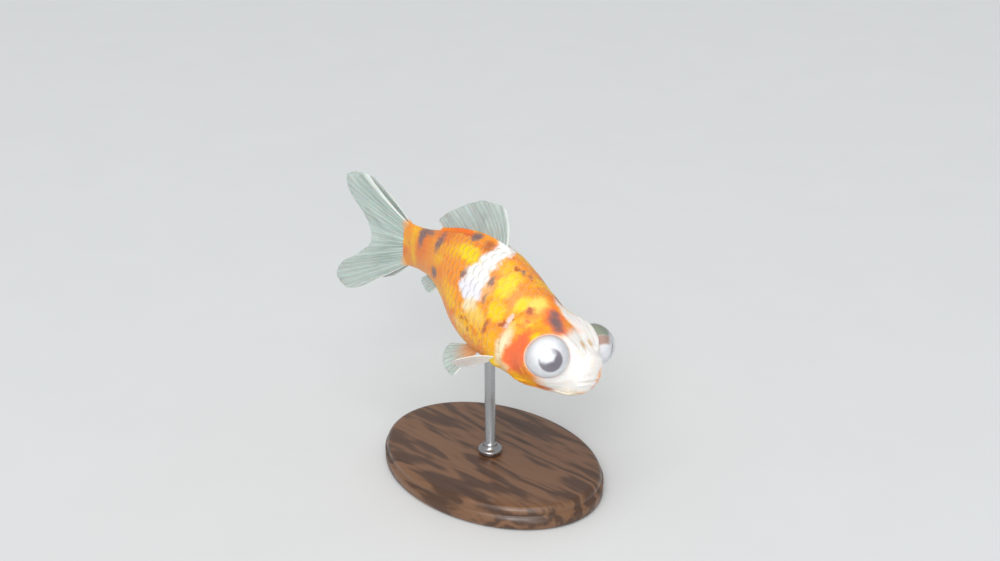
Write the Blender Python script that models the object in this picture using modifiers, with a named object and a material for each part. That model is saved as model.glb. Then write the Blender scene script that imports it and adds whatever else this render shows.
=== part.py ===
"""A young calico telescope goldfish with a twin tail, swimming nose down, on a small display stand.

Metres, +Z up, +X towards the nose and +Y to the fish's left. The origin is the middle of the
stand's underside. The fish is described in body lengths (snout to tail root), along a spine that
runs back from the snout, and each place on it is (station, left, up) about that spine.
"""

import math

import bmesh
import bpy
import numpy as np
from mathutils import Vector

# ---- Driving dimensions -------------------------------------------------------------------
BODY_LENGTH = 0.055          # snout to tail root
GAP = 0.0003                 # between neighbouring pieces
FIN_THICKNESS = 0.00055
FIN_CLEARANCE = 0.00048      # from the body to the middle of a fin's root edge

PITCH = math.radians(-20.5)  # nose down
ROLL = math.radians(-4.0)    # left side down
SPINE_AHEAD = 0.0069         # of the spine's middle in front of the stand's middle
SPINE_HEIGHT = 0.039         # of the spine's middle over the floor
SPINE_MIDDLE = 0.40          # station that the pose turns about
TAIL_DROOP = math.radians(20.0)
HEAD_LIFT = math.radians(10.0)
HEAD_TURN = math.radians(1.5)
TAIL_TURN = math.radians(-5.5)
HEAD_ROLL = math.radians(-11.0)   # left side down, on top of the body's own roll
TAIL_ROLL = math.radians(3.5)

# Body sections in body lengths: station, top, bottom, half width.
SECTIONS = np.array([
    (0.00, -0.008, -0.056, 0.018),
    (0.03, 0.026, -0.090, 0.058),
    (0.08, 0.056, -0.127, 0.091),
    (0.15, 0.088, -0.158, 0.115),
    (0.25, 0.121, -0.182, 0.139),
    (0.35, 0.152, -0.199, 0.156),
    (0.45, 0.183, -0.210, 0.160),
    (0.52, 0.199, -0.212, 0.156),
    (0.60, 0.195, -0.193, 0.142),
    (0.70, 0.166, -0.133, 0.110),
    (0.80, 0.126, -0.090, 0.076),
    (0.88, 0.101, -0.081, 0.052),
    (0.94, 0.095, -0.082, 0.037),
    (1.00, 0.098, -0.088, 0.022),
])
EGG = 0.16                   # how much narrower the back is than the belly

# Eyes, in body lengths. The axis leans forward and up from straight sideways.
EYE_CENTRE = (0.142, 0.144, 0.010)
EYE_RADIUS = 0.074
EYE_FORWARD = math.radians(33.0)
EYE_UP = math.radians(12.0)
STALK_RIM = 0.014            # how far the stalk's rim stands past the eye's centre
STALK_DEPTH = 0.095          # from the rim back into the head
STALK_RIM_RADIUS = 0.082
STALK_ROOT_RADIUS = 0.104

# Cuts between head, trunk and tail, in body lengths.
GILL_LINE = 0.334
GILL_TILT = 0.045
GILL_SWEEP_UP = 0.095
GILL_SWEEP_DOWN = 0.055
TAIL_CUT = 0.76

# The gill covers reach from their front edge back to the gill line.
COVER_FRONT = 0.258
COVER_MIDDLE = math.radians(-8.0)
COVER_REACH = math.radians(46.0)
COVER_THICKNESS = 0.0008
COVER_ROUND = 0.38           # 0 leaves the outline square
COVER_GIRTH = 0.14           # radius of the body there, in body lengths
RECESS_RISE = 0.0007         # how far the recess cutter stands out of the head

# The lower jaw's outline seen from the side: station, up.
JAW_OUTLINE = ((-0.03, -0.031), (0.050, -0.050), (0.078, -0.16), (-0.03, -0.16))
JAW_REACH = 0.12             # how far the jaw's cut reaches to each side

# How finely the round pieces are divided
BODY_SEGMENTS = 32
HEAD_RINGS = 20
SNOUT_SPREAD = 1.35          # over 1 draws the head's rings together at the snout
TRUNK_RINGS = 14
TAIL_RINGS = 8
COVER_CELLS = 8
EYE_SEGMENTS = 24

# The fins' guide rays, front to rear or top to bottom, in body lengths: the root's station and
# its angle round the body in degrees (90 is the back), then how far the ray runs back, out and up.
# Each fin's bow is how far the middles of its rays stand back, out and up of straight.
DORSAL_BOW = (-0.012, 0.0, 0.0)
DORSAL_RAYS = (
    (0.530, 90, 0.092, 0.0, 0.121),
    (0.565, 90, 0.112, 0.0, 0.106),
    (0.620, 90, 0.109, 0.0, 0.068),
    (0.685, 90, 0.086, 0.0, 0.044),
    (0.745, 90, 0.062, 0.0, 0.028),
    (0.800, 90, 0.040, 0.0, 0.014),
)
PECTORAL_BOW = (0.0, 0.0, 0.008)
PECTORAL_RAYS = (
    (0.335, -33, 0.045, 0.150, 0.025),
    (0.343, -40, 0.068, 0.118, 0.000),
    (0.350, -47, 0.082, 0.085, -0.022),
    (0.357, -54, 0.080, 0.050, -0.035),
)
PELVIC_BOW = (0.0, 0.010, 0.0)
PELVIC_RAYS = (
    (0.450, -66, 0.000, 0.090, -0.075),
    (0.460, -69, 0.050, 0.085, -0.086),
    (0.470, -72, 0.093, 0.065, -0.056),
    (0.480, -75, 0.088, 0.040, -0.015),
)
ANAL_BOW = (0.0, 0.004, 0.0)
ANAL_RAYS = (
    (0.780, -78, 0.045, 0.012, -0.045),
    (0.800, -78, 0.070, 0.014, -0.045),
    (0.822, -78, 0.075, 0.012, -0.025),
    (0.845, -78, 0.055, 0.008, -0.006),
)
# The tail fin's guide rays: the root's height, then how far back, out and up.
CAUDAL_BOW = (0.0, 0.012, 0.0)
CAUDAL_RAYS = (
    (0.092, 0.220, 0.014, 0.146),
    (0.078, 0.322, 0.022, 0.130),
    (0.056, 0.300, 0.030, 0.090),
    (0.032, 0.207, 0.036, 0.042),
    (0.008, 0.155, 0.045, -0.024),
    (-0.016, 0.222, 0.055, -0.074),
    (-0.038, 0.310, 0.070, -0.115),
    (-0.055, 0.338, 0.080, -0.156),
    (-0.068, 0.270, 0.080, -0.176),
    (-0.078, 0.167, 0.060, -0.129),
)
CAUDAL_ROOT = 0.0085         # left and right roots, in body lengths from the midline

SIDES = ((1, "left"), (-1, "right"))

# Stand
BASE_RADII = (0.026, 0.019)
BASE_HEIGHT = 0.005
BASE_BEVEL = 0.0009
ROD_RADIUS = 0.0011
ROD_STATION = 0.455
ROD_SLACK = 0.0007           # from the rod's top to the belly
BASE_SEGMENTS = 48
ROD_SEGMENTS = 16

# Colours (linear RGB) and roughness
ORANGE = (0.90, 0.27, 0.03)
DEEP_ORANGE = (0.75, 0.17, 0.02)
WHITE = (0.86, 0.80, 0.76)
GILL_RED = (0.80, 0.16, 0.06)
FIN_GREY = (0.62, 0.70, 0.70)
SILVER = (0.70, 0.71, 0.73)
WALNUT = (0.10, 0.05, 0.025)
STEEL = (0.55, 0.55, 0.56)


# ---- Body form ----------------------------------------------------------------------------
def smooth(x):
    x = np.clip(x, 0.0, 1.0)
    return x * x * (3.0 - 2.0 * x)


def through(x, xs, ys):
    """A smooth curve through the points (xs, ys), read at x."""
    x = np.asarray(x, float)
    slopes = np.gradient(ys, xs, axis=0)
    i = np.clip(np.searchsorted(xs, x, side="right") - 1, 0, len(xs) - 2)
    step = xs[i + 1] - xs[i]
    t = (x - xs[i]) / step
    if np.ndim(ys) > 1:
        t = t[..., None]
        step = step[..., None]
    h00 = 2 * t**3 - 3 * t**2 + 1
    h10 = t**3 - 2 * t**2 + t
    h01 = 3 * t**2 - 2 * t**3
    h11 = t**3 - t**2
    return h00 * ys[i] + h10 * step * slopes[i] + h01 * ys[i + 1] + h11 * step * slopes[i + 1]


def pose():
    """Columns are the middle of the body's forward, left and up directions."""
    forward = np.array([math.cos(PITCH), 0.0, math.sin(PITCH)])
    upright = np.array([-math.sin(PITCH), 0.0, math.cos(PITCH)])
    left = np.array([0.0, math.cos(ROLL), 0.0]) + upright * math.sin(ROLL)
    return np.stack([forward, left, np.cross(forward, left)], axis=1)


def spine_curve():
    """(stations, places, forwards, lefts, ups) along the spine, in body lengths before the pose."""
    stations = np.linspace(0.0, 1.0, 201)
    ahead = smooth((SPINE_MIDDLE - stations) / 0.30)
    behind = smooth((stations - SPINE_MIDDLE) / 0.55)
    turn = HEAD_TURN * ahead + TAIL_TURN * behind
    lift = HEAD_LIFT * ahead + TAIL_DROOP * behind
    roll = (HEAD_ROLL * ahead + TAIL_ROLL * behind)[:, None]
    forward = np.stack([np.cos(turn) * np.cos(lift), np.sin(turn) * np.cos(lift), np.sin(lift)], 1)
    level = np.stack([-np.sin(turn), np.cos(turn), np.zeros_like(turn)], 1)
    left = level * np.cos(roll) + np.cross(forward, level) * np.sin(roll)
    up = np.cross(forward, left)
    steps = 0.5 * (forward[1:] + forward[:-1]) * (stations[1] - stations[0])
    place = np.concatenate([np.zeros((1, 3)), -np.cumsum(steps, axis=0)])
    middle = np.array([np.interp(SPINE_MIDDLE, stations, place[:, k]) for k in range(3)])
    return stations, place - middle, forward, left, up


SPINE = spine_curve()
POSE = pose()


def along_spine(values, station):
    return np.stack([np.interp(station, SPINE[0], values[:, k]) for k in range(3)], -1)


def directions(station):
    """Forward, left and up at a station, in the world."""
    return [along_spine(SPINE[k], station) @ POSE.T for k in (2, 3, 4)]


def in_world(station, left, up):
    """World places of points given about the spine; past its ends it runs on straight."""
    station = np.asarray(station, float)
    forward, leftward, upward = directions(station)
    past = station - np.clip(station, 0.0, 1.0)
    place = along_spine(SPINE[1], station) @ POSE.T
    local = (place - past[..., None] * forward
             + np.asarray(left, float)[..., None] * leftward
             + np.asarray(up, float)[..., None] * upward)
    return local * BODY_LENGTH + np.array([SPINE_AHEAD, 0.0, SPINE_HEIGHT])


def eye_axis(side):
    """World direction of an eye's axis."""
    forward, left, up = directions(np.array(EYE_CENTRE[0]))
    flat = math.cos(EYE_UP)
    ahead = math.sin(EYE_FORWARD) * flat
    return ahead * forward + side * math.cos(EYE_FORWARD) * flat * left + math.sin(EYE_UP) * up


def body_point(station, angle):
    """World places on the body's surface; angle 0 is the left side and 90 degrees the back."""
    station, angle = np.broadcast_arrays(np.asarray(station, float), np.asarray(angle, float))
    top, bottom, half = (through(station, SECTIONS[:, 0], SECTIONS[:, k]) for k in (1, 2, 3))
    egg = EGG * np.clip((station - 0.1) / 0.2, 0.0, 1.0)
    left = half * np.cos(angle) * (1.0 - egg * np.sin(angle))
    up = (top + bottom) / 2 + (top - bottom) / 2 * np.sin(angle)
    return in_world(station, left, up)


def body_surface(station, angle, lift):
    """Places lifted off the body's surface along its outward normal."""
    step = 1e-3
    along = body_point(station + step, angle) - body_point(station - step, angle)
    around = body_point(station, angle + step) - body_point(station, angle - step)
    normal = np.cross(along, around)
    normal /= np.linalg.norm(normal, axis=-1, keepdims=True)
    return body_point(station, angle) + np.asarray(lift)[..., None] * normal


# ---- Scene helpers ------------------------------------------------------------------------
def clear_scene():
    for obj in list(bpy.data.objects):
        bpy.data.objects.remove(obj, do_unlink=True)


def collection(name):
    found = bpy.data.collections.new(name)
    bpy.context.scene.collection.children.link(found)
    return found


def material(name, colour, roughness, metallic=0.0):
    made = bpy.data.materials.new(name)
    made.use_nodes = True
    shader = made.node_tree.nodes["Principled BSDF"]
    shader.inputs["Base Color"].default_value = (*colour, 1.0)
    shader.inputs["Roughness"].default_value = roughness
    shader.inputs["Metallic"].default_value = metallic
    made.diffuse_color = (*colour, 1.0)
    return made


def add_mesh(name, mesh, home, finish=None):
    mesh.shade_smooth()
    mesh.set_sharp_from_angle(angle=math.radians(50))
    obj = bpy.data.objects.new(name, mesh)
    home.objects.link(obj)
    if finish is not None:
        mesh.materials.append(finish)
    return obj


def add_helper(name, mesh, home):
    """A cutter or guide, which isn't part of the model."""
    obj = add_mesh(name, mesh, home)
    obj.hide_render = True
    obj.display_type = "WIRE"
    return obj


def mesh_of(name, build):
    """A mesh filled in by build(bm), with its faces turned outward."""
    bm = bmesh.new()
    build(bm)
    bmesh.ops.recalc_face_normals(bm, faces=bm.faces)
    mesh = bpy.data.meshes.new(name)
    bm.to_mesh(mesh)
    bm.free()
    return mesh


def boolean(obj, other, operation):
    cut = obj.modifiers.new(f"{operation.lower()}_{other.name}", "BOOLEAN")
    cut.operation = operation
    cut.object = other
    cut.solver = "EXACT"


# ---- Body pieces --------------------------------------------------------------------------
def gill_line(angle):
    """The station where the head ends, round the body."""
    rise = np.sin(angle)
    sweep = np.where(rise > 0, GILL_SWEEP_UP, GILL_SWEEP_DOWN)
    return GILL_LINE + GILL_TILT * rise - sweep * rise**2


def loft(name, start, end, rings, spread=1.0):
    """A closed length of the body between two lines of stations, both functions of the angle."""
    angles = np.linspace(0.0, 2 * math.pi, BODY_SEGMENTS, endpoint=False)

    def build(bm):
        rows = []
        for k in range(rings + 1):
            share = (k / rings) ** spread
            stations = start(angles) * (1 - share) + end(angles) * share
            rows.append([bm.verts.new(place) for place in body_point(stations, angles)])
        for row, following in zip(rows, rows[1:]):
            for j in range(BODY_SEGMENTS):
                beyond = (j + 1) % BODY_SEGMENTS
                bm.faces.new((row[j], row[beyond], following[beyond], following[j]))
        for row in (rows[0], rows[-1]):
            middle = sum((vert.co for vert in row), row[0].co * 0) / BODY_SEGMENTS
            hub = bm.verts.new(middle)
            for j in range(BODY_SEGMENTS):
                bm.faces.new((row[j], row[(j + 1) % BODY_SEGMENTS], hub))

    return mesh_of(name, build)


def gill_cover_mesh(name, side, margin, lift):
    """A rounded patch of the body's side; margin grows its outline and lift raises it."""

    def build(bm):
        bmesh.ops.create_grid(bm, x_segments=COVER_CELLS, y_segments=COVER_CELLS, size=1.0)
        square = np.array([vert.co[:2] for vert in bm.verts])
        rounded = square * np.sqrt(1.0 - COVER_ROUND * square[:, ::-1] ** 2)
        angle = COVER_MIDDLE + (COVER_REACH + margin / (COVER_GIRTH * BODY_LENGTH)) * rounded[:, 1]
        front = COVER_FRONT - margin / BODY_LENGTH
        rear = gill_line(angle) + (2 * margin - GAP) / BODY_LENGTH
        station = (front + rear) / 2 + (rear - front) / 2 * rounded[:, 0]
        angle = angle if side > 0 else math.pi - angle
        for vert, place in zip(bm.verts, body_surface(station, angle, np.full(len(angle), lift))):
            vert.co = place

    return mesh_of(name, build)


def thicken(obj, thickness, offset=0.0):
    shell = obj.modifiers.new("thickness", "SOLIDIFY")
    shell.thickness = thickness
    shell.offset = offset


def face_outward(obj, middle):
    """Turns an open patch so that its normals point away from a place inside the body."""
    bm = bmesh.new()
    bm.from_mesh(obj.data)
    out = sum((face.calc_center_median() - middle).dot(face.normal) for face in bm.faces)
    if out < 0:
        bmesh.ops.reverse_faces(bm, faces=bm.faces)
    bm.to_mesh(obj.data)
    bm.free()


def jaw_wedge(name, shrink):
    """A prism across the mouth, as seen from the side in JAW_OUTLINE, drawn in by shrink."""
    inset = shrink / BODY_LENGTH
    outline = np.array(JAW_OUTLINE)
    outline[:2, 1] -= inset
    outline[1:3, 0] -= inset

    def build(bm):
        sides = []
        for left in (-JAW_REACH, JAW_REACH):
            places = in_world(outline[:, 0], np.full(4, left), outline[:, 1])
            sides.append([bm.verts.new(place) for place in places])
        right_side, left_side = sides
        bm.faces.new(right_side)
        bm.faces.new(left_side[::-1])
        for j in range(4):
            beyond = (j + 1) % 4
            bm.faces.new((right_side[j], left_side[j], left_side[beyond], right_side[beyond]))

    return mesh_of(name, build)


def sphere(name, centre, radius):
    def build(bm):
        bmesh.ops.create_uvsphere(
            bm, u_segments=EYE_SEGMENTS, v_segments=EYE_SEGMENTS // 2, radius=radius)
        bmesh.ops.translate(bm, verts=bm.verts, vec=centre)

    return mesh_of(name, build)


def eye_place(side):
    station, left, up = EYE_CENTRE
    return in_world(station, side * left, up)


def stalk(name, side):
    """The fleshy stalk that carries an eye: a cone that narrows to its rim."""
    axis = Vector(eye_axis(side))
    turn = axis.to_track_quat("Z", "Y").to_matrix()
    middle = Vector(eye_place(side)) + axis * (STALK_RIM - STALK_DEPTH / 2) * BODY_LENGTH

    def build(bm):
        bmesh.ops.create_cone(
            bm, cap_ends=True, segments=EYE_SEGMENTS, depth=STALK_DEPTH * BODY_LENGTH,
            radius1=STALK_ROOT_RADIUS * BODY_LENGTH, radius2=STALK_RIM_RADIUS * BODY_LENGTH)
        bmesh.ops.rotate(bm, verts=bm.verts, matrix=turn)
        bmesh.ops.translate(bm, verts=bm.verts, vec=middle)

    return mesh_of(name, build)


def snout(angle):
    return np.zeros_like(angle)


def behind_gills(angle):
    return gill_line(angle) + GAP / BODY_LENGTH


def before_cut(angle):
    return np.full_like(angle, TAIL_CUT)


def behind_cut(angle):
    return np.full_like(angle, TAIL_CUT + GAP / BODY_LENGTH)


def tail_root(angle):
    return np.ones_like(angle)


def build_head(home, helpers, skin):
    whole = add_helper("head_form", loft("head_form", snout, gill_line, HEAD_RINGS, SNOUT_SPREAD), helpers)
    head = add_mesh("head", whole.data.copy(), home, skin)
    for side, word in SIDES:
        boolean(head, add_helper(f"stalk_{word}", stalk("stalk", side), helpers), "UNION")
    for side, word in SIDES:
        socket = sphere("socket", eye_place(side), EYE_RADIUS * BODY_LENGTH + GAP)
        boolean(head, add_helper(f"socket_{word}", socket, helpers), "DIFFERENCE")
        recess = gill_cover_mesh("recess", side, 2 * GAP, RECESS_RISE)
        recess = add_helper(f"gill_recess_{word}", recess, helpers)
        face_outward(recess, head_middle())
        thicken(recess, RECESS_RISE + COVER_THICKNESS + 2 * GAP, -1.0)
        boolean(head, recess, "DIFFERENCE")
    jaw_gap = add_helper("jaw_gap", jaw_wedge("jaw_gap", 0.0), helpers)
    boolean(head, jaw_gap, "DIFFERENCE")
    return whole


def head_middle():
    return Vector(in_world(0.22, 0.0, -0.02))


def build_lower_jaw(home, whole, skin):
    jaw = add_mesh("lower_jaw", jaw_wedge("lower_jaw", GAP), home, skin)
    boolean(jaw, whole, "INTERSECT")


def build_gill_covers(home, finish):
    for side, word in SIDES:
        cover = gill_cover_mesh("gill_cover", side, 0.0, 0.0)
        cover = add_mesh(f"gill_cover_{word}", cover, home, finish)
        face_outward(cover, head_middle())
        thicken(cover, COVER_THICKNESS, -1.0)


def build_eyes(home, finish):
    for side, word in SIDES:
        add_mesh(f"eye_{word}", sphere("eye", eye_place(side), EYE_RADIUS * BODY_LENGTH), home, finish)


def build_trunk_and_tail(home, trunk_skin, tail_skin):
    add_mesh("trunk", loft("trunk", behind_gills, before_cut, TRUNK_RINGS), home, trunk_skin)
    add_mesh("tail", loft("tail", behind_cut, tail_root, TAIL_RINGS), home, tail_skin)


# ---- Fins ---------------------------------------------------------------------------------
def fin_mesh(name, roots, reaches, bow, across, along):
    """A sheet between guide rays: roots and reaches are world places and vectors, ray by ray."""
    knots = np.linspace(0.0, 1.0, len(roots))

    def build(bm):
        bmesh.ops.create_grid(bm, x_segments=across, y_segments=along, size=0.5)
        share = np.array([vert.co[:2] for vert in bm.verts]) + 0.5
        root = through(share[:, 0], knots, roots)
        reach = through(share[:, 0], knots, reaches)
        out = share[:, 1:]
        for vert, place in zip(bm.verts, root + reach * out + bow * 4.0 * out * (1.0 - out)):
            vert.co = place

    return mesh_of(name, build)


def reach_vectors(station, reach, side):
    """World vectors of rays given as how far they run back, out and up at their stations."""
    forward, left, up = directions(np.clip(station, 0.0, 1.0))
    back, out, rise = np.asarray(reach, float).T
    vectors = -back[:, None] * forward + side * out[:, None] * left + rise[:, None] * up
    return vectors * BODY_LENGTH


def body_fin(name, rays, bow, side, across, along, home, finish):
    """A fin whose guide rays grow from the body's surface."""
    table = np.array(rays)
    angle = np.radians(table[:, 1])
    angle = angle if side > 0 else math.pi - angle
    roots = body_surface(table[:, 0], angle, np.full(len(table), FIN_CLEARANCE))
    reaches = reach_vectors(table[:, 0], table[:, 2:], side)
    arch = reach_vectors(table[:1, 0], [bow], side)[0]
    add_fin(name, fin_mesh(name, roots, reaches, arch, across, along), home, finish)


def caudal_fin(name, side, home, finish):
    """One half of the twin tail, from top to bottom of the tail root."""
    table = np.array(CAUDAL_RAYS)
    ones = np.ones(len(table))
    root_station = 1.0 + FIN_CLEARANCE / BODY_LENGTH
    roots = in_world(ones * root_station, ones * side * CAUDAL_ROOT, table[:, 0])
    reaches = reach_vectors(ones, table[:, 1:], side)
    arch = reach_vectors(ones[:1], [CAUDAL_BOW], side)[0]
    add_fin(name, fin_mesh(name, roots, reaches, arch, 20, 8), home, finish)


def add_fin(name, mesh, home, finish):
    thicken(add_mesh(name, mesh, home, finish), FIN_THICKNESS)


def build_fins(home, finish):
    body_fin("dorsal_fin", DORSAL_RAYS, DORSAL_BOW, 1, 13, 6, home, finish)
    for side, word in SIDES:
        body_fin(f"pectoral_fin_{word}", PECTORAL_RAYS, PECTORAL_BOW, side, 8, 6, home, finish)
        body_fin(f"pelvic_fin_{word}", PELVIC_RAYS, PELVIC_BOW, side, 8, 6, home, finish)
        body_fin(f"anal_fin_{word}", ANAL_RAYS, ANAL_BOW, side, 6, 4, home, finish)
        caudal_fin(f"caudal_fin_{word}", side, home, finish)


# ---- Stand --------------------------------------------------------------------------------
def cylinder(name, radius, bottom, top, segments, scale=(1.0, 1.0), centre=(0.0, 0.0)):
    """An upright cylinder; scale makes it oval."""

    def build(bm):
        bmesh.ops.create_cone(
            bm, cap_ends=True, segments=segments, radius1=radius, radius2=radius, depth=top - bottom)
        bmesh.ops.scale(bm, verts=bm.verts, vec=(*scale, 1.0))
        bmesh.ops.translate(bm, verts=bm.verts, vec=(*centre, (bottom + top) / 2))

    return mesh_of(name, build)


def build_stand(home, wood, steel):
    plate = cylinder("stand_base", 1.0, 0.0, BASE_HEIGHT, BASE_SEGMENTS, BASE_RADII)
    base = add_mesh("stand_base", plate, home, wood)
    edge = base.modifiers.new("edge", "BEVEL")
    edge.width = BASE_BEVEL
    edge.segments = 2
    edge.limit_method = "ANGLE"

    belly = body_point(ROD_STATION, math.radians(-90))
    top = belly[2] - ROD_SLACK
    rod = cylinder(
        "stand_rod", ROD_RADIUS, BASE_HEIGHT + GAP, top, ROD_SEGMENTS, centre=(belly[0], belly[1]))
    add_mesh("stand_rod", rod, home, steel)


def main():
    clear_scene()
    home = collection("telescope_goldfish")
    helpers = collection("helpers")
    whole_head = build_head(home, helpers, material("head_skin", WHITE, 0.35))
    build_lower_jaw(home, whole_head, material("jaw_skin", WHITE, 0.35))
    build_gill_covers(home, material("gill_cover", GILL_RED, 0.35))
    build_eyes(home, material("eye", SILVER, 0.1))
    build_trunk_and_tail(
        home, material("trunk_skin", ORANGE, 0.35), material("tail_skin", DEEP_ORANGE, 0.35))
    build_fins(home, material("fin", FIN_GREY, 0.3))
    build_stand(home, material("walnut", WALNUT, 0.45), material("steel", STEEL, 0.3, 1.0))


main()
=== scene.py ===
"""The looks of a young calico telescope goldfish on its display stand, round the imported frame.

Metres, +Z up, +X towards the nose and +Y to the fish's left. The fish is described "straight":
(station, left, up) in body lengths, where the station runs back from the snout, and then bent
along its spine and set in its pose. Round the body, angle 0 is the left side and 90 the back.
"""

import math
from math import pi, radians

import bpy
import numpy as np
from mathutils import Matrix, Vector


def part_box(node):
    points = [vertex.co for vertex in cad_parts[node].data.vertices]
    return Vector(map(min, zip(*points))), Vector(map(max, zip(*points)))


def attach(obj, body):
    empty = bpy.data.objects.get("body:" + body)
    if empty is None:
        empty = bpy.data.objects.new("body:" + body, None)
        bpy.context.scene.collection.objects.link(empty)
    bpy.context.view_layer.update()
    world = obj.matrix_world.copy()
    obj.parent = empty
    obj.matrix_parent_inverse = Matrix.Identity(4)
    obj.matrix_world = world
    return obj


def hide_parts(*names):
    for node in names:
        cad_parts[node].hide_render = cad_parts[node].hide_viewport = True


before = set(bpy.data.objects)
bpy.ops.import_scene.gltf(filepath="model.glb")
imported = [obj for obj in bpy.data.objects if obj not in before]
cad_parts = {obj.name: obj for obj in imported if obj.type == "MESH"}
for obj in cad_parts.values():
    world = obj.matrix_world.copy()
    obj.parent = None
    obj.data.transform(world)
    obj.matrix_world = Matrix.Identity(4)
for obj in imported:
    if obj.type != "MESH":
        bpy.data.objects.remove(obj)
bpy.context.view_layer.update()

# ---- The fish's form, as in the solids ----
BODY_LENGTH = 0.055
MM = 0.001 / BODY_LENGTH  # a millimetre in body lengths
PITCH = radians(-20.5)  # nose down, and a slight bank
ROLL = radians(-4.0)
SPINE_MIDDLE = 0.4
SPINE_STEPS = 201
HEAD_BEND = 0.3  # the lengths over which the bends grow, ahead of the middle
TAIL_BEND = 0.55  # and behind it
TAIL_DROOP = radians(20.0)
HEAD_LIFT = radians(10.0)
HEAD_TURN = radians(1.5)
TAIL_TURN = radians(-5.5)
HEAD_ROLL = radians(-11.0)
TAIL_ROLL = radians(3.5)

# station, top, bottom, half width
SECTIONS = np.array([
    (0.0, -0.008, -0.056, 0.018),
    (0.03, 0.026, -0.09, 0.058),
    (0.08, 0.056, -0.127, 0.091),
    (0.15, 0.088, -0.158, 0.115),
    (0.25, 0.121, -0.182, 0.139),
    (0.35, 0.152, -0.199, 0.156),
    (0.45, 0.183, -0.21, 0.16),
    (0.52, 0.199, -0.212, 0.156),
    (0.6, 0.195, -0.193, 0.142),
    (0.7, 0.166, -0.133, 0.11),
    (0.8, 0.126, -0.09, 0.076),
    (0.88, 0.101, -0.081, 0.052),
    (0.94, 0.095, -0.082, 0.037),
    (1.0, 0.098, -0.088, 0.022),
])
EGG = 0.16  # how much wider the flanks are below, from EGG_START on
EGG_START = 0.1
EGG_GROWTH = 0.2
SNOUT_TIP = 0.014  # the snout is rounded off between these stations
SNOUT_BACK = 0.05
TAIL_END = 1.03

EYE_CENTRE = np.array([0.142, 0.144, 0.01])
EYE_RADIUS = 0.074
EYE_FORWARD = radians(33.0)
EYE_UP = radians(12.0)
GAZE_FORWARD = radians(45.0)  # the pupil looks further forward than its stalk points
GAZE_UP = radians(10.0)
STALK_RIM = -0.014  # its height along the stalk's axis, from the eye's centre
STALK_INNER = 0.076  # the stalk falls away between these distances from its axis
STALK_OUTER = 0.134
TO_NAPE = np.array([0.81, -0.43, 0.4])  # from the left eye, as back, left and up
NAPE_DIP = 0.024  # how much lower the rim is on that side
NAPE_TRIM = 0.022  # and how much narrower the stalk

GILL_LINE = 0.334  # station of the gill cover's edge at mid height, then how it leans and curves
GILL_TILT = 0.045
GILL_SWEEP_UP = 0.095
GILL_SWEEP_DOWN = 0.055

# root station, root angle, then how far the ray runs back, out and up
DORSAL = dict(bow=(-0.022, 0.0, 0.0), rays=(
    (0.53, 90, 0.067, 0.0, 0.128),
    (0.565, 90, 0.112, 0.0, 0.106),
    (0.62, 90, 0.109, 0.0, 0.068),
    (0.685, 90, 0.086, 0.0, 0.044),
    (0.745, 90, 0.062, 0.0, 0.028),
    (0.8, 90, 0.04, 0.0, 0.014)))
PECTORAL = dict(bow=(0.0, 0.0, 0.018), rays=(
    (0.335, -33, 0.051, 0.17, 0.019),
    (0.343, -40, 0.07, 0.125, -0.012),
    (0.35, -47, 0.07, 0.07, -0.034),
    (0.357, -54, 0.05, 0.035, -0.034)))
PELVIC = dict(bow=(0.0, 0.01, 0.0), rays=(
    (0.45, -66, 0.0, 0.09, -0.075),
    (0.46, -69, 0.05, 0.085, -0.086),
    (0.47, -72, 0.093, 0.065, -0.056),
    (0.48, -75, 0.088, 0.04, -0.015)))
ANAL = dict(bow=(0.0, 0.004, 0.0), rays=(
    (0.78, -78, 0.034, 0.01, -0.034),
    (0.8, -78, 0.054, 0.011, -0.034),
    (0.822, -78, 0.058, 0.01, -0.019),
    (0.845, -78, 0.042, 0.007, -0.005)))
# root height, then back, out and up
CAUDAL = dict(bow=(0.0, 0.012, 0.0), rays=(
    (0.092, 0.22, 0.014, 0.146),
    (0.078, 0.322, 0.022, 0.13),
    (0.056, 0.3, 0.03, 0.09),
    (0.032, 0.207, 0.036, 0.042),
    (0.008, 0.155, 0.045, -0.024),
    (-0.016, 0.222, 0.055, -0.074),
    (-0.038, 0.31, 0.07, -0.115),
    (-0.055, 0.338, 0.08, -0.156),
    (-0.068, 0.27, 0.08, -0.176),
    (-0.078, 0.167, 0.06, -0.129)))
CAUDAL_ROOT = 0.0085
# The left tail fin's upper rays lie against the right one's: how much further back, out and up
# their tips are, and each ray's share of it.
LEFT_TUCK = (0.026, 0.0, -0.028)
TUCK_SHARES = (1.0, 1.0, 0.8, 0.4, 0.1, 0.0, 0.0, 0.0, 0.0, 0.0)
SIDES = ((1, "left"), (-1, "right"))


def smooth(x):
    x = np.clip(x, 0.0, 1.0)
    return x * x * (3.0 - 2.0 * x)


def bump(x, width):
    """A soft hump of height 1 at x = 0."""
    return np.exp(-(x / width) ** 2)


def window(x, start, rise, end, fall):
    """Rises to 1 from start over a length rise, and falls to 0 from end over a length fall."""
    return smooth((x - start) / rise) * (1.0 - smooth((x - end) / fall))


def unit(vectors):
    return vectors / (np.linalg.norm(vectors, axis=-1, keepdims=True) + 1e-12)


def through(x, xs, ys):
    """A smooth curve through the points (xs, ys), read at x."""
    x = np.asarray(x, float)
    slopes = np.gradient(ys, xs, axis=0)
    i = np.clip(np.searchsorted(xs, x, side="right") - 1, 0, len(xs) - 2)
    step = xs[i + 1] - xs[i]
    t = (x - xs[i]) / step
    if np.ndim(ys) > 1:
        t, step = t[..., None], step[..., None]
    rise = smooth(t)
    bend = t * (1.0 - t) * step * ((1.0 - t) * slopes[i] - t * slopes[i + 1])
    return (1.0 - rise) * ys[i] + rise * ys[i + 1] + bend


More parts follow.
